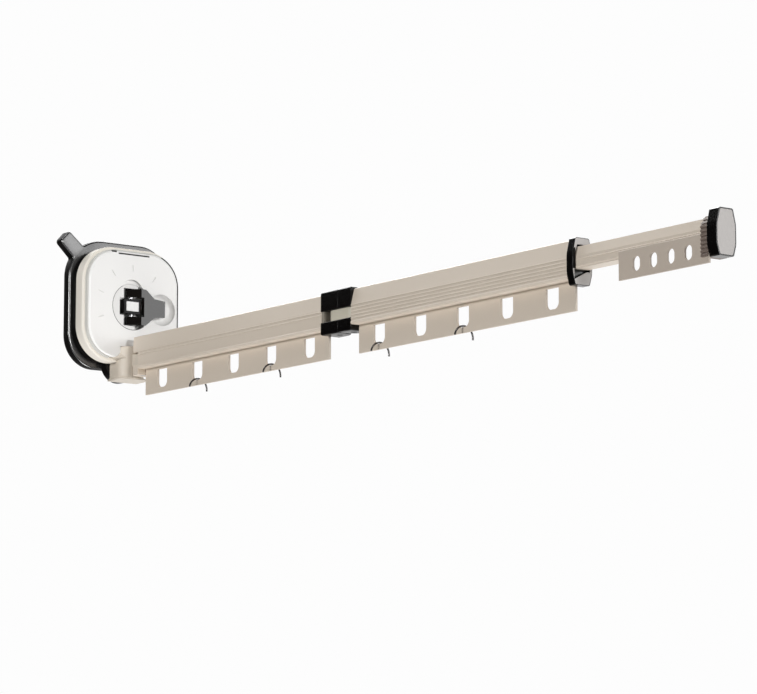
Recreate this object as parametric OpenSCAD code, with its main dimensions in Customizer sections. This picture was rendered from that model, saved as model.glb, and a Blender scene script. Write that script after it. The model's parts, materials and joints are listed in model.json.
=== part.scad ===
// Suction cup clothes rail: a lever suction base that carries a swivelling, folding, telescopic hanger rail.
// Millimetres. The wall is the plane y = 0, the rail points along -Y, +Z is up,
// and the origin is where the pull stud's axis meets the wall.

/* [Suction pad] */
// Width of the rubber pad
pad_w = 111; // [104:1:130]
// Height of the rubber pad
pad_h = 123; // [116:1:140]
// Corner radius of the rubber pad
pad_r = 37; // [30:1:40]
// Thickness of the pad at its rim
pad_t = 9.5; // [8:0.5:12]
// Height of the pad's centre above the stud
pad_rise = 3.5; // [0:0.5:6]
// Depth of the hollow in the pad's wall side
pad_dish = 4.2; // [4:0.1:5]
// Width of the flat lip that seals on the wall
pad_lip = 11; // [6:0.5:14]
// Width of the release tab at its tip
tab_w = 15; // [10:0.5:18]
// Length of the release tab past the pad's corner
tab_len = 20; // [12:1:24]
// Slope of the release tab above the horizontal
tab_angle = 42; // [35:1:55]

/* [Base housing] */
// Shift of the housing and the pad to the right of the stud
base_shift = 1.6; // [0:0.2:3]
// Width of the housing
housing_w = 107; // [98:0.5:120]
// Height of the housing
housing_h = 110; // [100:0.5:115]
// Corner radius of the housing
housing_r = 34; // [26:1:38]
// Height of the housing's centre above the stud
housing_rise = 1.5; // [0:0.5:4]
// Thickness of the black pressure ring
ring_t = 9.2; // [7:0.2:11]
// Depth of the cream housing
housing_t = 11.6; // [10:0.2:14]
// Ledge between the housing's edge and the white face plate
ledge = 4; // [3:0.2:6]
// Height of the white face plate above the ledge
face_t = 5.7; // [4:0.1:7]
// Radius of the rounded edge on the housing and face plate
edge_r = 1.8; // [0.8:0.1:2.5]
// Radius of the round recess that holds the lever's cams
knob_r = 22; // [21:0.5:24]
// Depth of that recess below the face plate
knob_depth = 11.5; // [10:0.5:12.5]
// Radius of the finger scoop under the lever's tip
scoop_r = 15; // [11:0.5:16]
// Depth of the finger scoop
scoop_depth = 5.6; // [5:0.1:7]

/* [Lock lever] */
// Travel of the stud between locked and open
lever_travel = 4; // [2:0.5:5]
// Length of the lever from its pin to its tip
lever_len = 34; // [28:0.5:36]
// Width of the lever across its cams
lever_w = 34.4; // [30:0.4:38]
// Width of the lever's tip
lever_tip_w = 15.6; // [12:0.4:22]
// Height of the lever above its pin
lever_t = 6.8; // [5.8:0.2:8]
// Radius of the lever's pin
lever_pin_r = 2; // [1.5:0.25:2.2]

/* [Swivel] */
// Distance of the swivel pin from the wall
swivel_y = 56; // [54:0.5:60]
// Radius of the swivel pin
swivel_pin_r = 2.5; // [2:0.25:3]
// Width of the tongue that the fork turns on
tongue_w = 9; // [8:0.5:10]
// Width of the boss under the face plate
boss_w = 27; // [22:0.5:32]
// Distance of the boss's nose from the wall
boss_reach = 45; // [42:0.5:45.5]

/* [Rails] */
// Height of the rails' top below the stud
rail_drop = 31; // [28:0.5:34]
// Height of the rail's hollow body
rail_h = 31.5; // [30:0.5:33]
// Width of the rail's body
rail_w = 19; // [18:0.2:19.2]
// Width of the rail's flat top
rail_top_w = 12.4; // [11.6:0.2:13]
// Wall of the rail's body
rail_wall = 1.3; // [1:0.1:1.6]
// Length of the inner rail
inner_len = 293; // [285:1:320]
// Length of the outer rail
outer_len = 287; // [280:1:320]
// Thickness of the hanging strips
strip_t = 2; // [1.6:0.1:2.4]
// Height from the rails' top to the strips' lower edge
strip_drop = 56; // [54:0.5:62]
// Width of a hanging slot
slot_w = 16; // [12:0.5:18]
// Height of a hanging slot
slot_h = 17.2; // [15:0.2:18.4]
// Number of hanging slots in each rail
slot_count = 5; // [3:1:6]

/* [Elbow] */
// Distance between the elbow's two pins
elbow_span = 20.8; // [20.6:0.1:22]
// Radius of the elbow's pins
elbow_pin_r = 2.5; // [2:0.25:3]
// Width of the elbow's blocks
block_w = 20; // [19.6:0.1:20]
// Height of the elbow's blocks
block_h = 38; // [37:0.2:39]
// Height of the link between the pins
link_h = 10; // [8:0.25:11]

/* [Telescopic end] */
// Width of the sliding tube
tube_w = 13; // [12:0.5:14]
// Height of the sliding tube
tube_h = 17.9; // [17:0.1:18.5]
// Length of the sliding tube that shows
tube_out = 155.7; // [140:0.1:180]
// Length of the sliding tube inside the outer rail
tube_in = 62; // [50:1:80]
// Length of the tube's own hanging strip
tube_strip_len = 102.7; // [92:0.1:104]
// Width of an obround slot
oval_w = 8.5; // [6:0.25:9.5]
// Height of an obround slot
oval_h = 11.8; // [10:0.2:13]
// Distance between obround slots
oval_pitch = 19.8; // [16:0.2:22]
// Number of obround slots
oval_count = 4; // [2:1:4]
// Depth of the collar on the outer rail's end
collar_t = 7.5; // [6:0.25:9]
// Depth of the end cap
cap_t = 10.7; // [9:0.1:14]

/* [Hanger hooks] */
// Radius of a hook's arch to the middle of its wire
hook_r = 9.5; // [9:0.25:12]
// Thickness of a hook's wire
hook_wire = 1.6; // [1.4:0.1:2.4]

/* [Hidden] */
$fn = 64;

// Past both faces of every cut
over = 1;
// Clearance of a pin that turns in a bore
pin_gap = 0.05;
// Clearance round a piece that is let into another
seat_gap = 0.05;
// Clearance between faces that slide or swing past each other
run_gap = 0.3;

// Gap between the tongue's end and the inner rail
swing_gap = 0.5;
// Distance from the rails' ends to the elbow's pins
pin1_inset = 14.4;
pin2_inset = 8.4;
// Distance from the tube strip's inner end to its first slot
first_oval = 20.6;
// Where the inner strip starts behind the inner rail's end
strip_inset = 1;
// Length of the ribbed neck behind the end cap
neck_len = 7.5;

// Colours
rubber = [0.09, 0.09, 0.10];
black = [0.05, 0.05, 0.055];
cream = [0.90, 0.88, 0.84];
white = [0.95, 0.95, 0.94];
beige = [0.74, 0.69, 0.64];
steel = [0.66, 0.67, 0.69];
pale = [0.74, 0.73, 0.72];

// Distances from the wall of the base's layers
ring_y = pad_t;
housing_y = ring_y + ring_t;
ledge_y = housing_y + housing_t;
face_y = ledge_y + face_t;
knob_floor_y = face_y - knob_depth;

// Pad details
tab_t = pad_t - 1.5;
tab_root_w = tab_w + 4;
tab_corner = 3.5;
pad_edge_r = 1.4;
membrane_t = 1.5;
plate_r = 24;
plate_t = 2.4;
plate_gap = 0.4;
plate_y = pad_dish + membrane_t;

// Housing details
wall_t = 2.4;
ring_inset = 1.2;
cup_t = 1.5;
chin_w = 36;
chin_drop = 70.5;
groove_w = 34.7;
groove_h = 1.3;
groove_depth = 2.4;
groove_x = 1.4;
groove_z = 50;
dash_w = 5.6;
dash_x = -20.6;
dash_z = 51.3;
tick_r = 37;
tick_l = 6;
tick_w = 1;
tick_depth = 0.5;
tick_turns = [50, 90, 125, 162, 199];
screw_r = 1.6;
screw_head_r = 3;
screw_head_t = 2;
screw_len = 12;
screw_gap = 0.2;
screw_inset = 14;
scallop_r = 11.5;
scallop_z = 14.5;
scallop_depth = 3;
scoop_x = 33;
scoop_fillet = 4.5;

// Bracket details, its heights measured down from the rails' top
boss_top = 7.5;
boss_edge = 2.5;
boss_lip = 2.4;
boss_lip_h = 1.6;
hump_r = 26;
hump_taper = 7;
hump_h = 11.5;
hump_under = 7;
boss_drop = chin_drop - rail_drop;
boss_h = boss_drop - boss_top;
boss_nose_y = boss_reach - boss_w / 2;
hump_y = face_y + hump_taper - hump_r;

// Stud and lever
stud_r = 4;
stud_neck_r = 3;
stud_gap = 0.4;
pin_height = 9;
cam_gap = 0.15;
chamber_y = knob_floor_y - cup_t - wall_t;
pin_axis_y = knob_floor_y + pin_height;
cam_high = pin_height - cam_gap;
cam_rate = lever_travel / (PI / 2);
eye_w = 17.5;
eye_shift = -1.2;
eye_h = 14;
eye_t = 8.6;
eye_floor = 0.8;
stud_cap_w = 13.2;
stud_cap_h = 9;
stud_cap_rise = 0.8;
ear_gap = 2.3;
ear = lever_w / 2 - eye_h / 2 - ear_gap;
web_x = 10.6;
web_t = 2;
blade_waist = 1.2;
slope_x = 7.5;
slope_drop = 0.6;
cam_steps = 12;
lever_pin_len = eye_h + 2 * ear_gap + ear;
spring_wire = 1.1;
spring_turns = 4;
spring_r = 7.5;
spring_steps = 24;
spring_sides = 6;

// Places along the rail, as distances from the wall
inner_y = swivel_y + tongue_w / 2 + swing_gap;
inner_end_y = inner_y + inner_len;
pin1_y = inner_end_y + pin1_inset;
pin2_y = pin1_y + elbow_span;
outer_y = pin2_y + pin2_inset;
outer_end_y = outer_y + outer_len;
collar_end_y = outer_end_y + collar_t;
cap_y = collar_end_y + tube_out;
neck_y = cap_y - neck_len;
strip_start_y = inner_y + strip_inset;
tube_strip_y = cap_y - tube_strip_len;

// Heights along the rail's section, measured down from the rails' top
crease = 14;
rib_r = 0.65;
rib_pitch = 2.9;
rib_proud = 0.45;
inner_rib = crease + 1.5;
outer_rib = crease + 1;
bead_r = 1.6;
bead_proud = 0.65;
shoulder_in = 1.2;
shoulder_h = 0.7;
slot_top = 34;
slot_corner = 5.5;
strip_foot_w = 6;
strip_foot_t = 1.4;
plug_gap = 0.1;

// The fork and the tongue between its arms
tongue_top = 15.7;
tongue_h = 12;
lower_arm_drop = 36.9;
fork_plug = 26;
pin_sunk = 3;

// The elbow
block_rise = 1.5;
link_top = 15.5;
block_edge = 2;
link_r = 8;
web_gap = 3.2;
core_plug = 24;
core_inset = 0.4;
elbow_pin_sunk = 0.5;
seam_y = pin1_y + elbow_span / 2;
// The collar's and the end cap's right half, as shares of their width and height from the top down
flare_shares = [[0.30, 0], [0.36, 0.02], [0.485, 0.30], [0.5, 0.38],
                [0.5, 0.70], [0.485, 0.78], [0.38, 0.98], [0.33, 1]];

// The telescopic end
tube_drop = 5.9;
tube_top_w = 8.6;
tube_crease = 8;
tube_wall = 1.2;
tube_ribs_z = [10.8, 16.3];
tube_rib_proud = 0.45;
notch_h = 4;
notch_lead = 5;
notch_end = 2;
tube_strip_t = 1.9;
tube_strip_top = 12.5;
tube_strip_drop = 35;
tube_strip_x = -tube_w / 2 - tube_strip_t;
strip_bead_r = 0.9;
oval_top = 18.2;
shoe_len = 16;
shoe_end_t = 4;
collar_plug = 14;
pocket_gap = 1.8;
pocket_depth = 5;
funnel_w = 16.5;
funnel_h = 8.5;
collar_rim = 0.4;
collar_face_t = 1;
neck_w = 19.6;
neck_top = 4.4;
neck_top_w = 10.6;
neck_shoulder = 7.6;
neck_h = 31.5;
neck_ribs = 10;
neck_rib_proud = 0.7;
neck_rib_share = 0.55;
cap_rise = 0.3;
cap_h = 36.8;
cap_rim = 1;
cap_inset = 1;

// The hooks
hook_turn = 9;
hook_lift = 0.3;

// A shape drawn across the rail or on the wall, x to the right and y up, pushed out from the wall
module outwards(start, depth) {
    translate([0, -start, 0]) rotate([90, 0, 0]) linear_extrude(depth) children();
}

// The same, with y measured from the rails' top
module along_rail(start, depth) {
    translate([0, 0, -rail_drop]) outwards(start, depth) children();
}

// A shape drawn in plan, x to the right and y towards the wall, between two depths below the rails' top
module plan_slab(top, height) {
    translate([0, 0, -rail_drop - top - height]) linear_extrude(height) children();
}

// A round shaft square to the wall
module shaft(start, depth, r) {
    outwards(start, depth) circle(r);
}

// An upright round pin or bore at a distance from the wall
module upright(y, top, height, r) {
    translate([0, -y, -rail_drop - top - height]) cylinder(h = height, r = r);
}

// A rectangle with round corners
module round_rect(w, h, r) {
    square([w - 2 * r, h], center = true);
    square([w, h - 2 * r], center = true);
    for (sx = [-1, 1], sz = [-1, 1])
        translate([sx * (w / 2 - r), sz * (h / 2 - r)]) circle(r);
}

// A rounded slab whose rim has its children's section: x out from the corners' centres, y from the back
module rimmed_slab(w, h, r, start, depth) {
    cw = w / 2 - r;
    ch = h / 2 - r;
    outwards(start, depth) square([2 * cw, 2 * ch], center = true);
    translate([0, -start, 0]) rotate([90, 0, 0]) {
        for (turn = [0, 180]) rotate([0, 0, turn]) {
            translate([cw, ch, 0]) rotate([90, 0, 0]) linear_extrude(2 * ch) children();
            translate([-cw, ch, 0]) rotate([90, 0, 90]) linear_extrude(2 * cw) children();
        }
        for (sx = [-1, 1], sz = [-1, 1])
            translate([sx * cw, sz * ch, 0])
                rotate([0, 0, sx > 0 ? (sz > 0 ? 0 : -90) : (sz > 0 ? 90 : 180)])
                    rotate_extrude(angle = 90) children();
    }
}

// A rim section with its front edge rounded
module soft_rim(r, depth, edge) {
    square([r, depth - edge]);
    square([r - edge, depth]);
    translate([r - edge, depth - edge]) circle(edge);
}

// A symmetric outline from the points of its right half, listed from the top down
function both_sides(half) = concat([for (i = [len(half) - 1:-1:0]) half[i]], [for (p = half) [-p[0], p[1]]]);

// The rail's outer or inner outline
function rail_half(in) = [
    [rail_top_w / 2 - shoulder_in - in / 2, -in],
    [rail_top_w / 2 - in / 2, -in - shoulder_h],
    [rail_w / 2 - in, -crease],
    [rail_w / 2 - in, -rail_h + in]
];

// The six-sided outline of the collar and the end cap
function flared_half(rise, h, in) = [
    for (s = flare_shares)
        [s[0] * block_w - in, rise - in - s[1] * (h - 2 * in)]
];

// Distance of a slot's middle from the wall
function slot_y(start, length, i) = start + (2 * i + 1) * length / (2 * slot_count);

function tube_half(in) = [
    [tube_top_w / 2 - in / 2, -tube_drop - in],
    [tube_w / 2 - in, -tube_drop - tube_crease],
    [tube_w / 2 - in, -tube_drop - tube_h + in]
];

// Suction pad with its release tab
module tab_outline() {
    reach = pad_r + tab_len;
    half = tab_w / 2;
    rotate([0, 0, 180 - tab_angle]) {
        polygon([[0, -tab_root_w / 2], [reach - tab_corner, -half],
                 [reach - tab_corner, half], [0, tab_root_w / 2]]);
        translate([reach - 2 * tab_corner, -half + tab_corner])
            square([2 * tab_corner, tab_w - 2 * tab_corner]);
        for (side = [-1, 1]) translate([reach - tab_corner, side * (half - tab_corner)]) circle(tab_corner);
    }
}

module suction_pad() {
    color(rubber) difference() {
        translate([base_shift, 0, pad_rise]) {
            rimmed_slab(pad_w, pad_h, pad_r, 0, pad_t) soft_rim(pad_r, pad_t, pad_edge_r);
            translate([-pad_w / 2 + pad_r, 0, pad_h / 2 - pad_r]) outwards(0, tab_t) tab_outline();
        }
        // the hollow on the wall side
        translate([base_shift, 0, pad_rise])
            outwards(-over, pad_dish + over)
                round_rect(pad_w - 2 * pad_lip, pad_h - 2 * pad_lip, pad_r - pad_lip);
        shaft(0, pad_t + over, plate_r + plate_gap);
    }
}

// The pad's thin middle, which the plunger pulls off the wall
module pad_membrane() {
    color(rubber) shaft(pad_dish, membrane_t, plate_r);
}

// Pressure ring
module chin_outline() {
    translate([0, -chin_drop + chin_w / 2]) circle(chin_w / 2);
    translate([-chin_w / 2, -chin_drop + chin_w / 2]) square([chin_w, chin_w / 2]);
}

module pressure_ring() {
    color(black) difference() {
        union() {
            translate([base_shift, 0, housing_rise])
                outwards(ring_y, ring_t)
                    round_rect(housing_w - 2 * ring_inset, housing_h - 2 * ring_inset,
                               housing_r - ring_inset);
            outwards(ring_y, ring_t) chin_outline();
        }
        shaft(ring_y - over, ring_t + 2 * over, plate_r + plate_gap);
        screw_places() shaft(ring_y - over, ring_t + 2 * over, screw_r + screw_gap);
        screw_places() shaft(ring_y - over, over + screw_head_t + screw_gap, screw_head_r + screw_gap);
    }
}

module screw_places() {
    for (sx = [-1, 1], sz = [-1, 1])
        translate([base_shift + sx * (housing_w / 2 - screw_inset), 0,
                   housing_rise + sz * (housing_h / 2 - screw_inset)])
            children();
}

module housing_screws() {
    color(steel) screw_places() {
        shaft(ring_y + screw_gap, screw_head_t, screw_head_r);
        shaft(ring_y + screw_gap, screw_len, screw_r);
    }
}

// Housing with the ledge round the face plate
module housing() {
    color(cream) difference() {
        translate([base_shift, 0, housing_rise])
            rimmed_slab(housing_w, housing_h, housing_r, housing_y, housing_t)
                soft_rim(housing_r, housing_t, edge_r);
        shaft(housing_y - over, over + chamber_y - housing_y, plate_r + plate_gap);
        shaft(knob_floor_y - cup_t, ledge_y, knob_r + cup_t + seat_gap);
        shaft(housing_y, face_y, stud_r + stud_gap);
        scoop();
        scallop();
        screw_places() shaft(housing_y - over, over + screw_len - ring_t + 2 * screw_gap, screw_r);
        boss_seat();
    }
}

// The finger scoop and the thumb scallop in the base's front
module scoop() {
    translate([scoop_x, -face_y - over, 0]) rotate([-90, 0, 0])
        rotate_extrude() soft_rim(scoop_r, scoop_depth + over, scoop_fillet);
}

module scallop() {
    translate([0, 0, scallop_z]) shaft(face_y - scallop_depth, over + scallop_depth, scallop_r);
}

// White face plate, with a cup that lines the round recess
module face_plate() {
    w = housing_w - 2 * ledge;
    h = housing_h - 2 * ledge;
    color(white) difference() {
        union() {
            translate([base_shift, 0, housing_rise])
                rimmed_slab(w, h, housing_r - ledge, ledge_y, face_t)
                    soft_rim(housing_r - ledge, face_t, edge_r);
            shaft(knob_floor_y - cup_t, ledge_y - knob_floor_y + cup_t, knob_r + cup_t);
        }
        shaft(knob_floor_y, knob_depth + over, knob_r);
        shaft(housing_y, face_y, stud_r + stud_gap);
        scoop();
        scallop();
        boss_seat();
        hump();
        face_marks();
    }
}

// The narrow groove, the short dash and the shallow ticks of the face plate
module face_marks() {
    outwards(face_y - groove_depth, groove_depth + over) {
        translate([groove_x, groove_z]) square([groove_w, groove_h], center = true);
        translate([dash_x, dash_z]) square([dash_w, groove_h], center = true);
    }
    outwards(face_y - tick_depth, tick_depth + over)
        for (turn = tick_turns)
            rotate([0, 0, turn]) translate([tick_r, 0]) square([tick_l, tick_w], center = true);
}

// The bracket: a boss with a round nose and a lip at its foot, a hump at its root, and the fork's tongue
module boss_profile() {
    soft_rim(boss_w / 2, boss_h, boss_edge);
    square([boss_w / 2 + boss_lip, boss_lip_h]);
    difference() {
        square([boss_w / 2 + boss_lip, boss_lip_h + boss_lip]);
        translate([boss_w / 2 + boss_lip, boss_lip_h + boss_lip]) circle(boss_lip);
    }
}

module boss() {
    translate([0, -boss_nose_y, -chin_drop]) rotate([0, 0, 180]) rotate_extrude(angle = 180) boss_profile();
    translate([0, 0, -chin_drop]) outwards(housing_y, boss_nose_y - housing_y) {
        boss_profile();
        mirror([1, 0]) boss_profile();
    }
}

// The wide hump that leads the face plate's surface out to the boss
module hump() {
    under_h = housing_h / 2 - housing_rise - edge_r - rail_drop - boss_top - hump_h;
    intersection() {
        translate([0, -hump_y, -rail_drop - boss_top]) rotate_extrude()
            polygon([[0, 0], [hump_r - hump_taper, 0], [hump_r, -hump_h],
                     [hump_r - hump_under, -hump_h - under_h], [0, -hump_h - under_h]]);
        translate([-hump_r, -hump_y - hump_r, -chin_drop])
            cube([2 * hump_r, hump_y + hump_r - ledge_y, chin_drop]);
    }
}

module boss_seat() {
    plan_slab(boss_top, boss_h + over) {
        translate([0, -boss_nose_y]) circle(boss_w / 2);
        translate([-boss_w / 2, -boss_nose_y]) square([boss_w, boss_nose_y - housing_y + over]);
    }
}

module tongue_outline() {
    translate([0, -swivel_y]) circle(tongue_w / 2);
    translate([-tongue_w / 2, -swivel_y]) square([tongue_w, swivel_y - boss_nose_y]);
}

module arm_bracket() {
    color(cream) difference() {
        union() {
            boss();
            hump();
            plan_slab(tongue_top + run_gap, tongue_h - 2 * run_gap) tongue_outline();
        }
        upright(swivel_y, tongue_top - over, tongue_h + 2 * over, swivel_pin_r);
    }
}

module swivel_pin() {
    color(steel) upright(swivel_y, pin_sunk, lower_arm_drop - pin_sunk, swivel_pin_r);
}

// Plunger: the plate in the pad, the stud with its eye, and the pin through it
module plunger_plate() {
    color(black) difference() {
        shaft(plate_y, plate_t, plate_r);
        shaft(plate_y - over, plate_t + 2 * over, stud_neck_r);
    }
}

module stud_cap_outline() {
    translate([eye_shift, 0]) square([stud_cap_w, stud_cap_h], center = true);
}

module pull_stud() {
    eye_y = pin_axis_y - eye_t / 2;
    color(black) difference() {
        union() {
            shaft(plate_y, plate_t, stud_neck_r);
            shaft(plate_y + plate_t, eye_y - plate_y - plate_t, stud_r);
            outwards(eye_y, eye_t) translate([eye_shift, 0]) square([eye_w, eye_h], center = true);
        }
        lever_pin_shape(lever_pin_r);
        outwards(eye_y + eye_t - eye_floor, over + eye_floor) stud_cap_outline();
    }
}

module stud_cap() {
    color(white) outwards(pin_axis_y + eye_t / 2 - eye_floor, eye_floor + stud_cap_rise) stud_cap_outline();
}

module lever_pin_shape(r) {
    translate([0, -pin_axis_y, -lever_pin_len / 2]) cylinder(h = lever_pin_len, r = r);
}

module lever_pin() {
    color(steel) lever_pin_shape(lever_pin_r);
}

// The coil spring between the plunger plate and the housing, one tube swept along a helix
module return_spring() {
    room = chamber_y - plate_y - plate_t;
    rise = (room - 2 * spring_wire) / (spring_turns * spring_steps);
    rings = spring_turns * spring_steps;
    points = [
        for (i = [0:rings], j = [0:spring_sides - 1])
            let (turn = 360 * i / spring_steps, a = 360 * j / spring_sides,
                 r = spring_r + spring_wire / 2 * cos(a))
            [r * cos(turn), r * sin(turn), i * rise + spring_wire / 2 * sin(a)]
    ];
    sides = [
        for (i = [0:rings - 1], j = [0:spring_sides - 1])
            let (k = (j + 1) % spring_sides, a = i * spring_sides, b = a + spring_sides)
            each [[a + j, a + k, b + k], [a + j, b + k, b + j]]
    ];
    first = [for (j = [1:spring_sides - 2]) [0, j + 1, j]];
    last = [for (j = [1:spring_sides - 2]) let (a = rings * spring_sides) [a, a + j, a + j + 1]];
    color(steel) translate([0, -plate_y - plate_t - spring_wire, 0])
        rotate([90, 0, 0]) polyhedron(points, concat(sides, first, last));
}

// Cam lever. Its support falls evenly from cam_high by lever_travel in a quarter turn
function cam_point(a) =
    let (s = cam_high - cam_rate * a * PI / 180)
    [-s * sin(a) + cam_rate * cos(a), s * cos(a) + cam_rate * sin(a)];

module cam_outline() {
    end = cam_point(90);
    polygon(concat([for (i = [0:cam_steps]) cam_point(i * 90 / cam_steps)],
                   [[end[0], -slope_drop], [slope_x, -lever_t], [web_x + web_t, -lever_t],
                    [web_x + web_t, pin_axis_y - face_y - run_gap]]));
}

module blade_outline() {
    mid_x = (web_x + lever_len) / 2;
    mid = lever_tip_w / 2 + blade_waist;
    polygon([
        [web_x, -lever_w / 2], [web_x + web_t, -lever_w / 2], [mid_x, -mid], [lever_len, -lever_tip_w / 2],
        [lever_len, lever_tip_w / 2], [mid_x, mid], [web_x + web_t, lever_w / 2], [web_x, lever_w / 2]
    ]);
}

module cam_lever() {
    color(black) difference() {
        union() {
            for (z = [-lever_w / 2, lever_w / 2 - ear])
                translate([0, -pin_axis_y, z]) linear_extrude(ear) cam_outline();
            outwards(face_y + run_gap, pin_axis_y + lever_t - face_y - run_gap) blade_outline();
        }
        translate([0, -pin_axis_y, -lever_w / 2 - over])
            cylinder(h = lever_w + 2 * over, r = lever_pin_r + pin_gap);
    }
}

// Rail parts
module rail_skin(start, length, ribs, first_rib) {
    color(beige) difference() {
        along_rail(start, length) {
            polygon(both_sides(rail_half(0)));
            for (side = [-1, 1]) {
                for (i = [0:ribs - 1])
                    translate([side * (rail_w / 2 + rib_proud - rib_r), -first_rib - i * rib_pitch])
                        circle(rib_r, $fn = 20);
                translate([side * (rail_w / 2 + bead_proud - bead_r), -rail_h + bead_r])
                    circle(bead_r, $fn = 32);
            }
        }
        along_rail(start - over, length + 2 * over) polygon(both_sides(rail_half(rail_wall)));
        along_rail(start - over, length + 2 * over)
            translate([-strip_t / 2, -rail_h - over]) square([strip_t, rail_wall + 2 * over]);
    }
}

// A hanging strip with its foot inside the rail and its row of slots, spread evenly along the rail
module slotted_strip(start, length, rail_start, rail_length) {
    color(beige) difference() {
        along_rail(start, length) {
            translate([-strip_t / 2, -strip_drop]) square([strip_t, strip_drop - rail_h + rail_wall]);
            translate([-strip_foot_w / 2, -rail_h + rail_wall]) square([strip_foot_w, strip_foot_t]);
        }
        for (i = [0:slot_count - 1])
            translate([-strip_t / 2 - over, -slot_y(rail_start, rail_length, i), -rail_drop - slot_top])
                rotate([90, 0, 90]) linear_extrude(strip_t + 2 * over) slot_outline();
    }
}

module slot_outline() {
    translate([-slot_w / 2, -slot_h + slot_corner]) square([slot_w, slot_h - slot_corner]);
    translate([-slot_w / 2 + slot_corner, -slot_h]) square([slot_w - 2 * slot_corner, slot_h]);
    for (side = [-1, 1])
        translate([side * (slot_w / 2 - slot_corner), -slot_h + slot_corner]) circle(slot_corner);
}

module inner_rail() {
    rail_skin(inner_y, inner_len, 2, inner_rib);
}

module inner_strip() {
    slotted_strip(strip_start_y, inner_end_y - strip_start_y, inner_y, inner_len);
}

module outer_rail() {
    rail_skin(outer_y, outer_len, 5, outer_rib);
}

module outer_strip() {
    slotted_strip(outer_y, outer_len, outer_y, outer_len);
}

// What a plug inside a rail leaves free: the strip's foot
module foot_room() {
    translate([-strip_foot_w / 2 - run_gap, -rail_h])
        square([strip_foot_w + 2 * run_gap, rail_wall + strip_foot_t + run_gap]);
}

module rail_plug(start, length) {
    along_rail(start, length) difference() {
        polygon(both_sides(rail_half(rail_wall + plug_gap)));
        foot_room();
    }
}

// The fork: two arms with round ends, and a plug in the inner rail
module fork_outline() {
    translate([0, -swivel_y]) circle(rail_w / 2);
    translate([-rail_w / 2, -inner_y]) square([rail_w, inner_y - swivel_y]);
}

module swivel_fork() {
    color(beige) difference() {
        union() {
            intersection() {
                along_rail(swivel_y - rail_w, rail_w + inner_y - swivel_y) polygon(both_sides(rail_half(0)));
                plan_slab(0, tongue_top) fork_outline();
            }
            intersection() {
                along_rail(swivel_y - rail_w, rail_w + inner_y - swivel_y)
                    translate([-rail_w / 2, -lower_arm_drop]) square([rail_w, lower_arm_drop]);
                plan_slab(tongue_top + tongue_h, lower_arm_drop - tongue_top - tongue_h) fork_outline();
            }
            rail_plug(inner_y, fork_plug);
        }
        upright(swivel_y, -over, lower_arm_drop + 2 * over, swivel_pin_r + pin_gap);
    }
}

// Elbow. Its blocks are round about their pins on the side that folds and meet in a flat seam on the other
module elbow_plan(pin_y, end_y) {
    flat_y = pin_y < seam_y ? seam_y - run_gap / 2 : seam_y + run_gap / 2;
    translate([0, -pin_y]) circle(block_w / 2);
    translate([-block_w / 2, -max(pin_y, end_y)]) square([block_w, abs(end_y - pin_y)]);
    translate([-block_w / 2, -max(pin_y, flat_y)]) square([block_w / 2, abs(flat_y - pin_y)]);
}

module elbow_block(pin_y, end_y, top, height) {
    intersection() {
        along_rail(end_y < pin_y ? end_y : pin_y - block_w, block_w + abs(end_y - pin_y))
            translate([0, block_rise - block_h / 2]) round_rect(block_w, block_h, block_edge);
        plan_slab(top, height) elbow_plan(pin_y, end_y);
    }
}

module inner_elbow_top() {
    color(black) difference() {
        elbow_block(pin1_y, inner_end_y, -block_rise, link_top + block_rise);
        upright(pin1_y, -block_rise - over, block_h, elbow_pin_r + pin_gap);
    }
}

module inner_elbow_bottom() {
    color(black) difference() {
        elbow_block(pin1_y, inner_end_y, link_top + link_h, block_h - block_rise - link_top - link_h);
        upright(pin1_y, 0, block_h + over, elbow_pin_r + pin_gap);
    }
}

module outer_elbow_top() {
    color(black) difference() {
        elbow_block(pin2_y, outer_y, -block_rise, link_top + block_rise);
        upright(pin2_y, -block_rise - over, block_h, elbow_pin_r + pin_gap);
    }
}

module outer_elbow_bottom() {
    color(black) difference() {
        elbow_block(pin2_y, outer_y, link_top + link_h, block_h - block_rise - link_top - link_h);
        upright(pin2_y, 0, block_h + over, elbow_pin_r + pin_gap);
    }
}

// The plugs in the rails' ends, the inner one with a web between its blocks
module inner_elbow_core() {
    web_end = pin1_y - link_r - web_gap;
    color(cream) {
        along_rail(inner_end_y, web_end - inner_end_y)
            translate([-rail_w / 2 + core_inset, -link_top - link_h])
                square([rail_w - 2 * core_inset, link_h]);
        rail_plug(inner_end_y - core_plug, core_plug);
    }
}

module outer_elbow_core() {
    color(cream) rail_plug(outer_y, core_plug);
}

module elbow_link() {
    color(cream) difference() {
        plan_slab(link_top + run_gap / 2, link_h - run_gap) {
            translate([0, -pin1_y]) circle(link_r);
            translate([0, -pin2_y]) circle(link_r);
            translate([-link_r, -pin2_y]) square([2 * link_r, elbow_span]);
        }
        for (y = [pin1_y, pin2_y]) upright(y, link_top - over, link_h + 2 * over, elbow_pin_r);
    }
}

module elbow_pins() {
    color(steel) for (y = [pin1_y, pin2_y])
        upright(y, elbow_pin_sunk, block_h - block_rise - 2 * elbow_pin_sunk, elbow_pin_r);
}

// Telescopic end. The tube's outline with its ribs, grown by a gap
module tube_outline(gap) {
    polygon(both_sides(tube_half(-gap)));
    for (side = [-1, 1], z = tube_ribs_z)
        translate([side * (tube_w / 2 + tube_rib_proud - rib_r), -tube_drop - z])
            circle(rib_r + gap, $fn = 20);
}

module sliding_tube() {
    start = collar_end_y - tube_in;
    length = cap_y - start;
    color(beige) difference() {
        along_rail(start, length) tube_outline(0);
        along_rail(start - over, length + 2 * over) polygon(both_sides(tube_half(tube_wall)));
        // the lower far side is cut away behind the strip's slots
        along_rail(tube_strip_y - notch_lead, neck_y - notch_end - tube_strip_y + notch_lead)
            translate([tube_wall - tube_w / 2, -tube_drop - tube_h - over]) square([tube_w, notch_h + over]);
    }
}

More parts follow.
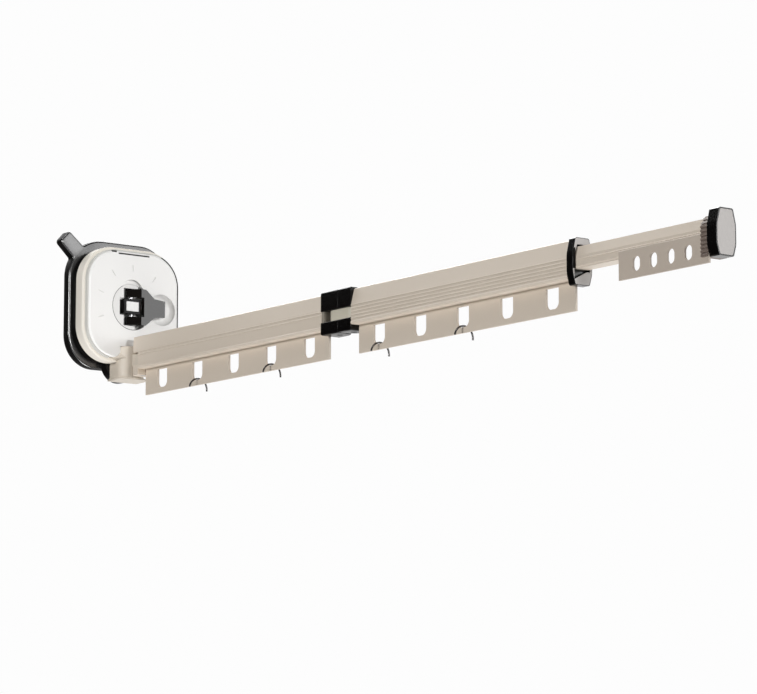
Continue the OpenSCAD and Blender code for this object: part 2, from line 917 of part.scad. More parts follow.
// The room inside a rail above the strip's foot
module above_foot() {
    translate([-rail_w / 2, -rail_h + rail_wall + strip_foot_t + run_gap]) square([rail_w, rail_h]);
}

// The shoe on the tube's hidden end, which slides in the outer rail
module slide_shoe() {
    start = collar_end_y - tube_in - shoe_end_t;
    color(black) difference() {
        along_rail(start, shoe_len) intersection() {
            polygon(both_sides(rail_half(rail_wall + run_gap)));
            above_foot();
        }
        along_rail(start + shoe_end_t, shoe_len) tube_outline(0);
    }
}

module tube_strip() {
    top = tube_drop + tube_strip_top;
    bottom = tube_drop + tube_strip_drop;
    color(beige) difference() {
        along_rail(tube_strip_y, tube_strip_len) {
            translate([tube_strip_x, -bottom]) square([tube_strip_t, bottom - top]);
            translate([tube_strip_x + tube_strip_t - strip_bead_r, -top]) circle(strip_bead_r, $fn = 24);
        }
        for (i = [0:oval_count - 1])
            translate([tube_strip_x - over, -tube_strip_y - first_oval - i * oval_pitch,
                       -rail_drop - tube_drop - oval_top - oval_h / 2])
                rotate([90, 0, 90]) linear_extrude(tube_strip_t + 2 * over) oval_outline();
        along_rail(tube_strip_y - over, tube_strip_len + 2 * over) tube_outline(0);
    }
}

module oval_outline() {
    square([oval_w, oval_h - oval_w], center = true);
    for (side = [-1, 1]) translate([0, side * (oval_h - oval_w) / 2]) circle(oval_w / 2);
}

module collar_outline(in) {
    polygon(both_sides(flared_half(block_rise, block_h, in)));
}

// The tube's way through the collar, the pocket round it and the funnel below it
module collar_bore() {
    along_rail(outer_end_y - collar_plug - over, collar_plug + collar_t + 2 * over) tube_outline(run_gap);
    along_rail(collar_end_y - pocket_depth, pocket_depth + over) {
        polygon(both_sides(tube_half(-pocket_gap)));
        translate([-funnel_w / 2, -tube_drop - tube_h])
            polygon([[0, 0], [0, -funnel_h], [funnel_w, 0]]);
    }
}

module end_collar() {
    color(black) difference() {
        union() {
            along_rail(outer_end_y, collar_t) collar_outline(0);
            along_rail(outer_end_y - collar_plug, collar_plug) intersection() {
                polygon(both_sides(rail_half(rail_wall + plug_gap)));
                above_foot();
            }
        }
        collar_bore();
        along_rail(collar_end_y - collar_face_t, collar_face_t + over) collar_outline(collar_rim);
    }
}

module end_collar_face() {
    color(pale) difference() {
        along_rail(collar_end_y - collar_face_t, collar_face_t) collar_outline(collar_rim);
        collar_bore();
    }
}

function neck_half(in) = [
    [neck_top_w / 2 - in, -neck_top],
    [neck_w / 2 - in, -neck_top - neck_shoulder],
    [neck_w / 2 - in, -neck_top - neck_h]
];

// The ribbed neck behind the end cap, open for the tube and the tube's strip
module ribbed_neck() {
    pitch = neck_h / neck_ribs;
    color(black) difference() {
        along_rail(neck_y, neck_len) {
            polygon(both_sides(neck_half(neck_rib_proud)));
            intersection() {
                polygon(both_sides(neck_half(0)));
                for (i = [0:neck_ribs - 1])
                    translate([-neck_w / 2, -neck_top - (i + 1) * pitch])
                        square([neck_w, neck_rib_share * pitch]);
            }
        }
        along_rail(neck_y - over, neck_len + 2 * over) {
            tube_outline(0);
            translate([tube_strip_x - run_gap, -tube_drop - tube_strip_drop])
                square([tube_strip_t + run_gap, tube_strip_drop - tube_strip_top + strip_bead_r + run_gap]);
        }
    }
}

module end_cap() {
    color(black) difference() {
        along_rail(cap_y, cap_t) polygon(both_sides(flared_half(cap_rise, cap_h, 0)));
        along_rail(cap_y + cap_t - cap_inset, cap_inset + over)
            polygon(both_sides(flared_half(cap_rise, cap_h, cap_rim)));
    }
}

module end_cap_face() {
    color(pale) along_rail(cap_y + cap_t - cap_inset, cap_inset)
        polygon(both_sides(flared_half(cap_rise, cap_h, cap_rim)));
}

// Hanger hooks: a half ring of wire over the web under a slot
module hook_at(y) {
    seat = slot_top + slot_h - hook_lift;
    color(steel) translate([0, -y, -rail_drop - seat - hook_r + hook_wire / 2])
        rotate([90, 0, 0]) rotate([0, 0, -hook_turn])
            rotate_extrude(angle = 180) translate([hook_r, 0]) circle(hook_wire / 2, $fn = 24);
}

module hanger_hook_1() {
    hook_at(slot_y(inner_y, inner_len, 1));
}

module hanger_hook_2() {
    hook_at(slot_y(inner_y, inner_len, 3));
}

module hanger_hook_3() {
    hook_at(slot_y(outer_y, outer_len, 0));
}

module hanger_hook_4() {
    hook_at(slot_y(outer_y, outer_len, 2));
}

suction_pad();
pad_membrane();
pressure_ring();
housing();
face_plate();
housing_screws();
arm_bracket();
swivel_pin();
plunger_plate();
pull_stud();
stud_cap();
lever_pin();
return_spring();
cam_lever();
swivel_fork();
inner_rail();
inner_strip();
inner_elbow_core();
inner_elbow_top();
inner_elbow_bottom();
elbow_link();
elbow_pins();
outer_elbow_core();
outer_elbow_top();
outer_elbow_bottom();
outer_rail();
outer_strip();
end_collar();
end_collar_face();
sliding_tube();
slide_shoe();
tube_strip();
ribbed_neck();
end_cap();
end_cap_face();
hanger_hook_1();
hanger_hook_2();
hanger_hook_3();
hanger_hook_4();
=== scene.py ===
"""Dresses the suction cup clothes rail and frames it as in the photograph."""
import json
import math

import bmesh
import bpy
from mathutils import Matrix, Vector


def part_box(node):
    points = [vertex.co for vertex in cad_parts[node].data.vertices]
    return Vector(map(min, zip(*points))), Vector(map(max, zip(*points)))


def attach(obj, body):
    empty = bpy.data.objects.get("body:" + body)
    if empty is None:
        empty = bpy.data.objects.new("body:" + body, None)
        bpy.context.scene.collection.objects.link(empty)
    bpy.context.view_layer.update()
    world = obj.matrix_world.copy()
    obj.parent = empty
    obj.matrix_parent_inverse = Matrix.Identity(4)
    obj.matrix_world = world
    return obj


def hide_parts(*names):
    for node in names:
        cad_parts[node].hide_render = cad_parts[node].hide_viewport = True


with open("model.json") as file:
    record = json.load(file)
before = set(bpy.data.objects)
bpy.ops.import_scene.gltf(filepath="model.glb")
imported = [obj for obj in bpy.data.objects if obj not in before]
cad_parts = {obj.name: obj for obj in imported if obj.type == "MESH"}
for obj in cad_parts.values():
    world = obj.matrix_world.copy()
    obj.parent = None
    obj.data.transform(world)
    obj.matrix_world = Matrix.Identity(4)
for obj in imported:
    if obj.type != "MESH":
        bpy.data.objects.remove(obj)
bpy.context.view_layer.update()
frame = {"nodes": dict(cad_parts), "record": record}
nodes = frame["nodes"]

# Grain and drift that every surface has
PLAIN_GRAIN = 1200.0
PAINT_GRAIN = 2200.0
GRAIN_DETAIL = 4.0
DRIFT_SCALE = 14.0
DRIFT_DETAIL = 3.0
DRIFT_START = 0.25
DRIFT_END = 0.75
ROUGH_SPREAD = 0.06
LEAST_ROUGH = 0.02
RELIEF_DEPTH = 0.0002
BEVEL_SAMPLES = 4


def srgb(*rgb):
    """Linear colour from 0-255 screen values."""
    lin = []
    for c in rgb:
        c = c / 255
        lin.append(c / 12.92 if c <= 0.04045 else ((c + 0.055) / 1.055) ** 2.4)
    return (*lin, 1.0)


def link(owner, a, out, b, into):
    """Joins an output of one shader node to an input of another, in a material or the world."""
    owner.node_tree.links.new(a.outputs[out], b.inputs[into])


def surface(name, colour, dark, rough, grain=PLAIN_GRAIN, bump=0.08, metal=0.0, gloss=0.5, coat=0.0,
            coat_rough=0.15, coat_ior=1.5, edge=0.0005, stretch=(1, 1, 1)):
    """A surface with a fine grain in its bump and roughness and a slow drift between two colours."""
    mat = bpy.data.materials.new(name)
    mat.use_nodes = True
    tree = mat.node_tree
    shader = tree.nodes["Principled BSDF"]
    shader.inputs["Metallic"].default_value = metal
    shader.inputs["Specular IOR Level"].default_value = gloss
    shader.inputs["Coat Weight"].default_value = coat
    shader.inputs["Coat Roughness"].default_value = coat_rough
    shader.inputs["Coat IOR"].default_value = coat_ior

    coords = tree.nodes.new("ShaderNodeTexCoord")
    mapping = tree.nodes.new("ShaderNodeMapping")
    mapping.inputs["Scale"].default_value = stretch
    link(mat, coords, "Object", mapping, "Vector")
    fine = tree.nodes.new("ShaderNodeTexNoise")
    fine.inputs["Scale"].default_value = grain
    fine.inputs["Detail"].default_value = GRAIN_DETAIL
    link(mat, mapping, "Vector", fine, "Vector")
    slow = tree.nodes.new("ShaderNodeTexNoise")
    slow.inputs["Scale"].default_value = DRIFT_SCALE
    slow.inputs["Detail"].default_value = DRIFT_DETAIL
    link(mat, mapping, "Vector", slow, "Vector")

    ramp = tree.nodes.new("ShaderNodeValToRGB")
    ramp.color_ramp.elements[0].position = DRIFT_START
    ramp.color_ramp.elements[1].position = DRIFT_END
    ramp.color_ramp.elements[0].color = dark
    ramp.color_ramp.elements[1].color = colour
    link(mat, slow, "Fac", ramp, "Fac")
    link(mat, ramp, "Color", shader, "Base Color")

    sheen = tree.nodes.new("ShaderNodeMapRange")
    sheen.inputs["To Min"].default_value = max(rough - ROUGH_SPREAD, LEAST_ROUGH)
    sheen.inputs["To Max"].default_value = rough + ROUGH_SPREAD
    link(mat, fine, "Fac", sheen, "Value")
    link(mat, sheen, "Result", shader, "Roughness")

    soft = tree.nodes.new("ShaderNodeBevel")
    soft.samples = BEVEL_SAMPLES
    soft.inputs["Radius"].default_value = edge
    relief = tree.nodes.new("ShaderNodeBump")
    relief.inputs["Strength"].default_value = bump
    relief.inputs["Distance"].default_value = RELIEF_DEPTH
    link(mat, fine, "Fac", relief, "Height")
    link(mat, soft, "Normal", relief, "Normal")
    link(mat, relief, "Normal", shader, "Normal")
    return mat


LOOK = {
    "pad_rubber": surface("pad_rubber", srgb(17, 16, 17), srgb(11, 10, 11), 0.50, bump=0.20, gloss=0.05,
                          coat=1.0, coat_rough=0.25, coat_ior=2.15, edge=0.0006),
    "black_plastic": surface("black_plastic", srgb(13, 11, 11), srgb(8, 7, 7), 0.30, gloss=0.15),
    "elbow_plastic": surface("elbow_plastic", srgb(9, 7, 7), srgb(5, 4, 4), 0.28, gloss=0.25, edge=0.0006),
    "neck_plastic": surface("neck_plastic", srgb(122, 108, 99), srgb(104, 91, 84), 0.45, bump=0.10),
    "lever_plastic": surface("lever_plastic", srgb(18, 15, 13), srgb(12, 10, 9), 0.45, gloss=0.0,
                             coat=1.0, coat_rough=0.12, coat_ior=1.55),
    "cream_plastic": surface("cream_plastic", srgb(235, 229, 219), srgb(229, 223, 212), 0.50, bump=0.05),
    # The core's grey-beige is painted shade: the beige of the cream link, darkened for the elbow's gap
    "core_plastic": surface("core_plastic", srgb(150, 143, 131), srgb(136, 129, 118), 0.55),
    "white_plastic": surface("white_plastic", srgb(240, 239, 237), srgb(236, 235, 233), 0.36, bump=0.03),
    "rail_paint": surface("rail_paint", srgb(218, 206, 191), srgb(212, 200, 185), 0.44, grain=PAINT_GRAIN,
                          bump=0.10, edge=0.0003, stretch=(1, 0.35, 1)),
    "pin_steel": surface("pin_steel", srgb(184, 184, 186), srgb(160, 160, 163), 0.30, bump=0.15, metal=1.0,
                         stretch=(1, 1, 12)),
    "hook_chrome": surface("hook_chrome", srgb(104, 102, 102), srgb(70, 68, 68), 0.20, bump=0.04, metal=1.0),
    # The pale grey of the end cap's and collar's front faces is a painted sheen on the black cap plastic
    "cap_face": surface("cap_face", srgb(190, 186, 183), srgb(184, 180, 177), 0.42, bump=0.06),
}

for part in frame["record"]["subparts"]:
    mesh = nodes[part["node"]].data
    mesh.materials.clear()
    mesh.materials.append(LOOK[part["material_slot"]])

# Paints of single pieces that differ a little from the rest of their slot
CAP_PLASTIC = surface("cap_plastic", srgb(9, 7, 7), srgb(5, 4, 4), 0.22, bump=0.05)
PAINT = {
    # The bracket's cream is darker than the housing's: partly its own tone, partly painted shade on the
    # boss's side
    "arm_bracket": surface("bracket_plastic", srgb(212, 202, 188), srgb(205, 195, 181), 0.48, bump=0.05),
    "elbow_link": surface("link_plastic", srgb(214, 208, 190), srgb(205, 199, 181), 0.50, bump=0.05),
    "tube_strip": surface("strip_paint", srgb(193, 181, 168), srgb(187, 175, 162), 0.46, grain=PAINT_GRAIN,
                          bump=0.10, edge=0.0003),
    "end_cap": CAP_PLASTIC,
    "end_collar": CAP_PLASTIC,
}
for name, mat in PAINT.items():
    nodes[name].data.materials[0] = mat

# How finely round shapes are drawn, and the angle in degrees above which an edge stays sharp
BAR_ROUND_SHARE = 0.25
BAR_STEPS = 3
ARC_STEPS = 16
CURVE_STEPS = 6
RIM_STEPS = 5
LINE_STEPS = 96
LINE_SIDES = 8
SHARP_ANGLE = 40

# Turns an outline drawn on the wall, with heights above it, into the object's frame
FROM_WALL = Matrix(((1, 0, 0, 0), (0, 0, -1, 0), (0, 1, 0, 0), (0, 0, 0, 1)))


def add_piece(name, mesh, place, body, slot):
    """A piece of detail that rides on a body."""
    obj = bpy.data.objects.new(name, mesh)
    bpy.context.scene.collection.objects.link(obj)
    obj.location = place
    mesh.materials.append(LOOK[slot])
    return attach(obj, body)


def bar(name, size, place, body, slot):
    """A bar with round edges that rides on a body."""
    mesh = bpy.data.meshes.new(name)
    shape = bmesh.new()
    bmesh.ops.create_cube(shape, size=1.0)
    bmesh.ops.scale(shape, vec=size, verts=shape.verts)
    bmesh.ops.bevel(shape, geom=shape.edges, offset=BAR_ROUND_SHARE * min(size), segments=BAR_STEPS,
                    affect="EDGES", profile=0.5)
    shape.to_mesh(mesh)
    shape.free()
    return add_piece(name, mesh, place, body, slot)


def line_arc(name, place, radius, start, end, thick):
    """A fine dark line along a part of a circle about an axis square to the wall, angles in degrees."""
    verts = []
    for i in range(LINE_STEPS + 1):
        turn = math.radians(start + (end - start) * i / LINE_STEPS)
        for j in range(LINE_SIDES):
            a = 2 * math.pi * j / LINE_SIDES
            r = radius + thick * math.cos(a)
            verts.append((r * math.cos(turn), thick * math.sin(a), r * math.sin(turn)))
    first_ring = range(LINE_SIDES)
    last_ring = range(LINE_STEPS * LINE_SIDES, (LINE_STEPS + 1) * LINE_SIDES)
    faces = [tuple(reversed(first_ring)), tuple(last_ring)]
    for i in range(LINE_STEPS):
        here = i * LINE_SIDES
        ahead = here + LINE_SIDES
        for j in range(LINE_SIDES):
            k = (j + 1) % LINE_SIDES
            faces.append((here + k, ahead + k, ahead + j, here + j))
    mesh = bpy.data.meshes.new(name)
    mesh.from_pydata(verts, [], faces)
    mesh.polygons.foreach_set("use_smooth", [len(face) == 4 for face in faces])
    return add_piece(name, mesh, place, "base", "elbow_plastic")


def arc(centre, radius, start, end, steps=ARC_STEPS):
    """Points along a circle from one angle to another, in degrees."""
    points = []
    for i in range(steps + 1):
        a = math.radians(start + (end - start) * i / steps)
        points.append(centre + radius * Vector((math.cos(a), math.sin(a))))
    return points


def rounded_rect(low, high, radius):
    """Anticlockwise outline of a rectangle with round corners, which starts with its bottom right one."""
    corner = Vector((radius, radius))
    near = low + corner
    far = high - corner
    return (arc(Vector((far.x, near.y)), radius, -90, 0) + arc(far, radius, 0, 90)
            + arc(Vector((near.x, far.y)), radius, 90, 180) + arc(near, radius, 180, 270))


def curve(start, middle, end):
    """Points of a soft corner between two ends."""
    points = []
    for i in range(CURVE_STEPS + 1):
        t = i / CURVE_STEPS
        points.append((1 - t) ** 2 * start + 2 * t * (1 - t) * middle + t ** 2 * end)
    return points


def inset(points, distance):
    """An anticlockwise outline moved inwards, its corners kept sharp."""
    moved = []
    for last, here, following in zip(points[-1:] + points[:-1], points, points[1:] + points[:1]):
        into = (here - last).normalized()
        on = (following - here).normalized()
        first = Vector((-into.y, into.x))
        second = Vector((-on.y, on.x))
        moved.append(here + distance * (first + second) / (1 + first.dot(second)))
    return moved


def rounded_rim(outline, level, radius, rising):
    """Loops of a rim's rounding, from the side towards the flat face at the level."""
    loops = []
    for i in range(RIM_STEPS + 1):
        a = math.radians(90 * i / RIM_STEPS)
        depth = radius * (1 - math.sin(a))
        height = level - depth if rising else level + depth
        loops.append((inset(outline, radius * (1 - math.cos(a))), height))
    return loops


def solid(name, outer, inner, place, body, slot):
    """A solid inside an outer wall and outside an inner one, each a list of loops with their heights.

    The loops go from low to high, the outer ones run anticlockwise, and the inner wall may be empty.
    """
    shape = bmesh.new()
    walls = []
    for loops in filter(None, (outer, inner)):
        rings = [[shape.verts.new((p.x, p.y, level)) for p in loop] for loop, level in loops]
        for a, b in zip(rings, rings[1:]):
            for i in range(len(a)):
                k = (i + 1) % len(a)
                shape.faces.new((a[i], a[k], b[k], b[i]))
        walls.append(rings)
    for end in (0, -1):
        edges = []
        for rings in walls:
            ring = rings[end]
            edges += [shape.edges.get((ring[i - 1], ring[i])) for i in range(len(ring))]
        bmesh.ops.triangle_fill(shape, edges=edges, use_beauty=True)
    bmesh.ops.recalc_face_normals(shape, faces=shape.faces)
    mesh = bpy.data.meshes.new(name)
    shape.to_mesh(mesh)
    shape.free()
    mesh.transform(place)
    mesh.polygons.foreach_set("use_smooth", [True] * len(mesh.polygons))
    mesh.set_sharp_from_angle(angle=math.radians(SHARP_ANGLE))
    return add_piece(name, mesh, (0.0, 0.0, 0.0), body, slot)


# The face plate that the inserts, lines, band and shelves line up with
face_low, face_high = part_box("face_plate")
face_x = (face_low.x + face_high.x) / 2
face_height = -face_low.y

# Dark bars of painted shade in the groove and the dash, and a fine painted shadow line round the recess
GROOVE_DROP = 0.0025
GROOVE_SHIFT = -0.0002
GROOVE_WIDTH = 0.0345
GROOVE_HEIGHT = 0.0012
DASH_DROP = 0.0012
DASH_SHIFT = -0.0222
DASH_WIDTH = 0.0056
DASH_HEIGHT = 0.0021
SHADE_DEPTH = 0.0018
SHADE_SUNK = 0.0002
RECESS_RADIUS = 0.0220
LINE_RADIUS = 0.00022
LINE_START = 119
LINE_END = 305
shade_y = face_low.y + SHADE_SUNK + SHADE_DEPTH / 2
bar("groove_shade", (GROOVE_WIDTH, SHADE_DEPTH, GROOVE_HEIGHT),
    (face_x + GROOVE_SHIFT, shade_y, face_high.z - GROOVE_DROP), "base", "elbow_plastic")
bar("dash_shade", (DASH_WIDTH, SHADE_DEPTH, DASH_HEIGHT),
    (face_x + DASH_SHIFT, shade_y, face_high.z - DASH_DROP), "base", "elbow_plastic")
line_arc("recess_line", (0.0, face_low.y, 0.0), RECESS_RADIUS, LINE_START, LINE_END, LINE_RADIUS)

# A dark strip of painted shadow on the collar's face at its opening beside the tube
SHADOW_WIDTH = 0.0026
SHADOW_THICK = 0.0003
SHADOW_TOP = 0.0080
SHADOW_BOTTOM = 0.0125
collar_low, collar_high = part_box("end_collar_face")
shadow_height = collar_high.z - collar_low.z - SHADOW_TOP - SHADOW_BOTTOM
bar("collar_shadow", (SHADOW_WIDTH, SHADOW_THICK, shadow_height),
    (collar_low.x + SHADOW_WIDTH / 2 - SHADOW_THICK, collar_low.y, collar_high.z - SHADOW_TOP - shadow_height / 2),
    "arm_outer", "black_plastic")

# The rubber pad, its release tab in one surface with its front
PAD_WIDTH = 0.111
PAD_HEIGHT = 0.123
PAD_THICK = 0.0095
PAD_CORNER = 0.031
PAD_EDGE = 0.0016
PAD_LOWER_EDGE = 0.0004
PAD_LIP = 0.011
DISH_DEPTH = 0.0042
DISH_SOFTER = 0.004
DISH_FLOOR_SHARE = 1.2
PLATE_HOLE = 0.0244
TAB_ROOT = 0.037
TAB_ROOT_STEPS = 90
TAB_REACH = 0.0535
TAB_TURN = 138
TAB_HALF = 0.0075
TAB_WIDER = 0.0020
TAB_CORNER = 0.0035
TAB_FILLET = 0.0016
pad_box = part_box("suction_pad")
pad_low = Vector((pad_box[1].x - PAD_WIDTH, pad_box[0].z))
pad_high = Vector((pad_box[1].x, pad_box[0].z + PAD_HEIGHT))


def pad_outline(low, high):
    """The pad's outline with the tab on its top left corner."""
    root = Vector((low.x + TAB_ROOT, high.y - TAB_ROOT))
    along = Vector((math.cos(math.radians(TAB_TURN)), math.sin(math.radians(TAB_TURN))))
    across = Vector((-along.y, along.x))
    rim = arc(root, TAB_ROOT, 90, 180, TAB_ROOT_STEPS)

    def half(reach):
        """Half the tab's width at a distance from its root."""
        return TAB_HALF + TAB_WIDER * (1 - reach / TAB_REACH)

    points = []
    for side in (-1, 1):
        outside = [p for p in rim if side * (p - root).dot(across) > half((p - root).dot(along))]
        meet = outside[-1] if side < 0 else outside[0]
        kept = [p for p in outside if (p - meet).length > TAB_FILLET]
        reach = (meet - root).dot(along) + TAB_FILLET
        edge = root + reach * along + side * half(reach) * across
        tip = root + TAB_REACH * along + side * (TAB_HALF - TAB_CORNER) * across
        if side < 0:
            points += kept[:-1] + curve(kept[-1], meet, edge)
            points += arc(tip, TAB_CORNER, TAB_TURN - 90, TAB_TURN)
        else:
            points += arc(tip, TAB_CORNER, TAB_TURN, TAB_TURN + 90)
            points += curve(edge, meet, kept[0]) + kept[1:]
    base = rounded_rect(low, high, PAD_CORNER)
    corner_points = len(base) // 4
    return base[:2 * corner_points] + points + base[3 * corner_points:]


def dish_outline(share):
    """An outline of the hollow in the pad's back, a share of the lip's width inside the pad's edge."""
    by = share * Vector((PAD_LIP, PAD_LIP))
    return rounded_rect(pad_low + by, pad_high - by, PAD_CORNER - share * PAD_LIP + DISH_SOFTER)


dish = dish_outline(1.0)
dish_floor = dish_outline(DISH_FLOOR_SHARE)
hole = [PLATE_HOLE * (p - (pad_low + pad_high) / 2).normalized() for p in dish]
pad_loop = pad_outline(pad_low, pad_high)
pad_wall = (rounded_rim(pad_loop, 0.0, PAD_LOWER_EDGE, False)[::-1]
            + rounded_rim(pad_loop, PAD_THICK, PAD_EDGE, True))
pad_hollow = [(dish, 0.0), (dish_floor, DISH_DEPTH), (hole, DISH_DEPTH), (hole, PAD_THICK)]
pad = solid("rubber_pad", pad_wall, pad_hollow, FROM_WALL, "base", "pad_rubber")
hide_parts("suction_pad")

# The pad's sides are matt, its front has a sheen
SIDE_SLOPE = 0.35
pad.data.materials.append(surface("pad_side", srgb(14, 13, 13), srgb(9, 8, 8), 0.60, bump=0.20, gloss=0.10))
for face in pad.data.polygons:
    if abs(face.normal.y) < SIDE_SLOPE:
        face.material_index = 1

# A grey band of painted shade round the face plate's side, open at the bottom where the bracket stands
PLATE_CORNER = 0.030
STRIP_GAP = 0.00005
BAND_WIDTH = 0.0012
BAND_DROP = 0.0016
BAND_EDGE = 0.0004
BAND_TRIM = 2
ledge_height = -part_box("housing")[0].y
plate_low = Vector((face_low.x, face_low.z))
plate_high = Vector((face_high.x, face_high.z))


def round_plate(offset):
    """The plate's outline moved outwards."""
    by = Vector((offset, offset))
    return rounded_rect(plate_low - by, plate_high + by, PLATE_CORNER + offset)


def strip_round_plate(name, width, first, last, low, high, edge, slot):
    """A strip along a part of the plate's side, from one point of its outline to another."""
    strip = round_plate(width)[first:last] + round_plate(STRIP_GAP)[first:last][::-1]
    return solid(name, [(strip, low)] + rounded_rim(strip, high, edge, True), [], FROM_WALL, "base", slot)


band = strip_round_plate("plate_shade_band", BAND_WIDTH, BAND_TRIM, -BAND_TRIM, ledge_height,
                         face_height - BAND_DROP, BAND_EDGE, "white_plastic")
band.data.materials[0] = surface("band_painted_shade", srgb(205, 204, 199), srgb(200, 199, 194), 0.45, bump=0.05)

# A fine dark line of painted shade on the plate's right edge
LINE_WIDTH = 0.0008
LINE_FIRST = 4
LINE_LAST = 30
LINE_LOW = 0.0015
LINE_HIGH = 0.0005
LINE_EDGE = 0.0002
strip_round_plate("edge_shade_line", LINE_WIDTH, LINE_FIRST, LINE_LAST, face_height - LINE_LOW,
                  face_height - LINE_HIGH, LINE_EDGE, "elbow_plastic")

# White shelves in the recess that end close beside the lever's cams
SHELF_RADIUS = 0.02195
SHELF_STEPS = 64
SHELF_THICK = 0.0015
SHELF_EDGE = 0.0003
SHELF_DEPTH = 0.0015
SHELF_LEFT = 0.0085
SHELF_NOTCH = 0.0130
SHELF_NOTCH_HALF = 0.0080
SHELF_BELOW = 0.0179
SHELF_RIGHT = 0.0040
TOP_SHELF_DEPTH = 0.0030
TOP_SHELF_HALF = 0.0084
TOP_SHELF_STEPS = 24


def shelf(name, outline, depth):
    """A thin white shelf whose front lies a little behind the face plate's."""
    top = face_height - depth
    outer = [(outline, top - SHELF_THICK)] + rounded_rim(outline, top, SHELF_EDGE, True)
    solid(name, outer, [], FROM_WALL, "base", "white_plastic")


def side_angle(x):
    """The angle in degrees at which the recess's rim passes a distance from its upright middle."""
    return math.degrees(math.acos(x / SHELF_RADIUS))


middle = Vector((0.0, 0.0))
shelf("recess_shelf",
      arc(middle, SHELF_RADIUS, side_angle(-SHELF_LEFT), 360 - side_angle(SHELF_RIGHT), SHELF_STEPS)
      + [Vector((SHELF_RIGHT, -SHELF_BELOW)), Vector((-SHELF_LEFT, -SHELF_BELOW)),
         Vector((-SHELF_LEFT, -SHELF_NOTCH_HALF)), Vector((-SHELF_NOTCH, -SHELF_NOTCH_HALF)),
         Vector((-SHELF_NOTCH, SHELF_NOTCH_HALF)), Vector((-SHELF_LEFT, SHELF_NOTCH_HALF))],
      SHELF_DEPTH)
shelf("scallop_shelf",
      arc(middle, SHELF_RADIUS, side_angle(TOP_SHELF_HALF), side_angle(-TOP_SHELF_HALF), TOP_SHELF_STEPS)
      + [Vector((-TOP_SHELF_HALF, SHELF_BELOW)), Vector((TOP_SHELF_HALF, SHELF_BELOW))],
      TOP_SHELF_DEPTH)

# The elbow's blocks, with softened rims that leave a notch at the seam
BLOCK_EDGE = 0.0018
BLOCK_STEPS = 24
PIN_RADIUS = 0.0025
BORE_RADIUS = 0.00255
BORE_STEPS = 32
pins_low, pins_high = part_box("elbow_pins")


def elbow_block(node, body, pin_y, rising):
    """A block round about its pin on the folding side and flat at the seam on the other."""
    low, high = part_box(node)
    wall_side = pin_y > (pins_low.y + pins_high.y) / 2
    end_y, seam_y = (high.y, low.y) if wall_side else (low.y, high.y)
    turn = -1 if wall_side else 1
    pin = Vector((0.0, pin_y))
    outline = [Vector((high.x, end_y))]
    outline += arc(pin, high.x, 0, turn * 90, BLOCK_STEPS)
    outline += [Vector((0.0, seam_y)), Vector((low.x, seam_y)), Vector((low.x, end_y))]
    if wall_side:
        outline.reverse()
    if rising:
        outer = [(outline, low.z)] + rounded_rim(outline, high.z, BLOCK_EDGE, True)
    else:
        outer = rounded_rim(outline, low.z, BLOCK_EDGE, False)[::-1] + [(outline, high.z)]
    bore = arc(pin, BORE_RADIUS, 0, 360 - 360 / BORE_STEPS, BORE_STEPS - 1)
    block = solid(node + "_soft", outer, [(bore, low.z), (bore, high.z)], Matrix.Identity(4), body,
                  "elbow_plastic")
    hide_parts(node)


for half, body, pin_y in (("inner", "arm_inner", pins_high.y - PIN_RADIUS),
                          ("outer", "arm_outer", pins_low.y + PIN_RADIUS)):
    elbow_block(half + "_elbow_top", body, pin_y, True)
    elbow_block(half + "_elbow_bottom", body, pin_y, False)

# The photograph's camera, its place in metres, its lens and sensor in millimetres
CAMERA_PLACE = (-1.689, -2.678, -0.505)
CAMERA_RIGHT = Vector((0.8003, -0.5998, 0.0)).normalized()
CAMERA_AHEAD = Vector((0.5929, 0.7914, 0.1476)).normalized()
CAMERA_LENS = 159.3
CAMERA_SENSOR = 36.0
CAMERA_NEAR = 0.05
CAMERA_FAR = 60.0
camera_up = CAMERA_RIGHT.cross(CAMERA_AHEAD).normalized()
camera_turn = Matrix((CAMERA_RIGHT, camera_up, -CAMERA_AHEAD)).transposed().to_4x4()
camera_data = bpy.data.cameras.new("camera")
camera_data.sensor_width = CAMERA_SENSOR
camera_data.lens = CAMERA_LENS
camera_data.clip_start = CAMERA_NEAR
camera_data.clip_end = CAMERA_FAR
camera = bpy.data.objects.new("camera", camera_data)
bpy.context.scene.collection.objects.link(camera)
camera.matrix_world = Matrix.Translation(CAMERA_PLACE) @ camera_turn
bpy.context.scene.camera = camera


def lamp(name, towards, size, strength):
    """A white sun lamp that shines along a direction, its size in degrees."""
    data = bpy.data.lights.new(name, "SUN")
    data.energy = strength
    data.angle = math.radians(size)
    obj = bpy.data.objects.new(name, data)
    bpy.context.scene.collection.objects.link(obj)
    obj.rotation_euler = Vector(towards).to_track_quat("-Z", "Y").to_euler()


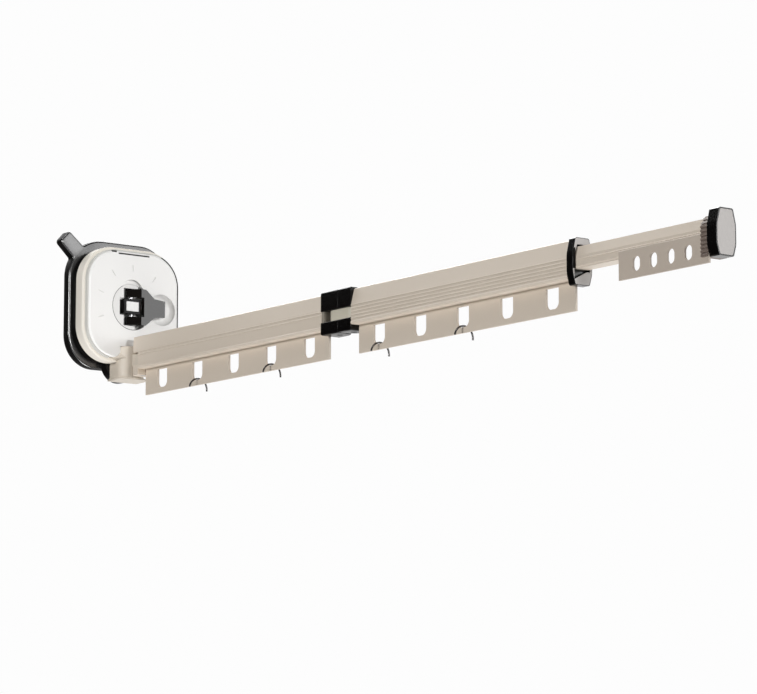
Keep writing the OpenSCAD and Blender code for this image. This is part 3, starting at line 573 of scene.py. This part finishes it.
lamp("key", (0.04, 0.99, -0.05), 14, 1.63)
lamp("side", (0.96, 0.10, -0.16), 14, 1.72)
lamp("sheen", (-0.60, 0.79, -0.12), 28, 0.65)
lamp("rim", (-0.15, -0.79, -0.60), 50, 2.6)
lamp("top", (0.35, 0.35, -0.87), 20, 0.5)
lamp("bounce", (0.45, 0.45, 0.77), 60, 0.5)
lamp("below", (0.0, 0.0, 1.0), 30, 2.2)

# The light of the room, which falls off from bright to dark along a direction, and the plain backdrop
ROOM_COLOUR = (1.0, 0.99, 0.98, 1.0)
ROOM_BRIGHT = 1.0
ROOM_DARK = 0.01
DARK_SIDE = (-0.86, -0.51, 0.0)
FALL_START = -0.9
FALL_END = -0.2
BACKDROP_COLOUR = srgb(253, 253, 253)
BACKDROP_STRENGTH = 1.0


def backdrop():
    """White to the camera; to the object a soft white room that falls off to the left behind the wall."""
    world = bpy.data.worlds.new("backdrop")
    bpy.context.scene.world = world
    world.use_nodes = True
    tree = world.node_tree
    tree.nodes.clear()
    coords = tree.nodes.new("ShaderNodeTexCoord")
    side = tree.nodes.new("ShaderNodeVectorMath")
    side.operation = "DOT_PRODUCT"
    side.inputs[1].default_value = DARK_SIDE
    level = tree.nodes.new("ShaderNodeMapRange")
    level.interpolation_type = "SMOOTHSTEP"
    level.inputs["From Min"].default_value = FALL_START
    level.inputs["From Max"].default_value = FALL_END
    level.inputs["To Min"].default_value = ROOM_BRIGHT
    level.inputs["To Max"].default_value = ROOM_DARK
    tree.links.new(coords.outputs["Generated"], side.inputs[0])
    link(world, side, "Value", level, "Value")

    room = tree.nodes.new("ShaderNodeBackground")
    room.inputs["Color"].default_value = ROOM_COLOUR
    link(world, level, "Result", room, "Strength")
    plain = tree.nodes.new("ShaderNodeBackground")
    plain.inputs["Color"].default_value = BACKDROP_COLOUR
    plain.inputs["Strength"].default_value = BACKDROP_STRENGTH

    path = tree.nodes.new("ShaderNodeLightPath")
    mix = tree.nodes.new("ShaderNodeMixShader")
    out = tree.nodes.new("ShaderNodeOutputWorld")
    link(world, path, "Is Camera Ray", mix, "Fac")
    tree.links.new(room.outputs["Background"], mix.inputs[1])
    tree.links.new(plain.outputs["Background"], mix.inputs[2])
    link(world, mix, "Shader", out, "Surface")


backdrop()
bpy.context.scene.view_settings.view_transform = "Standard"
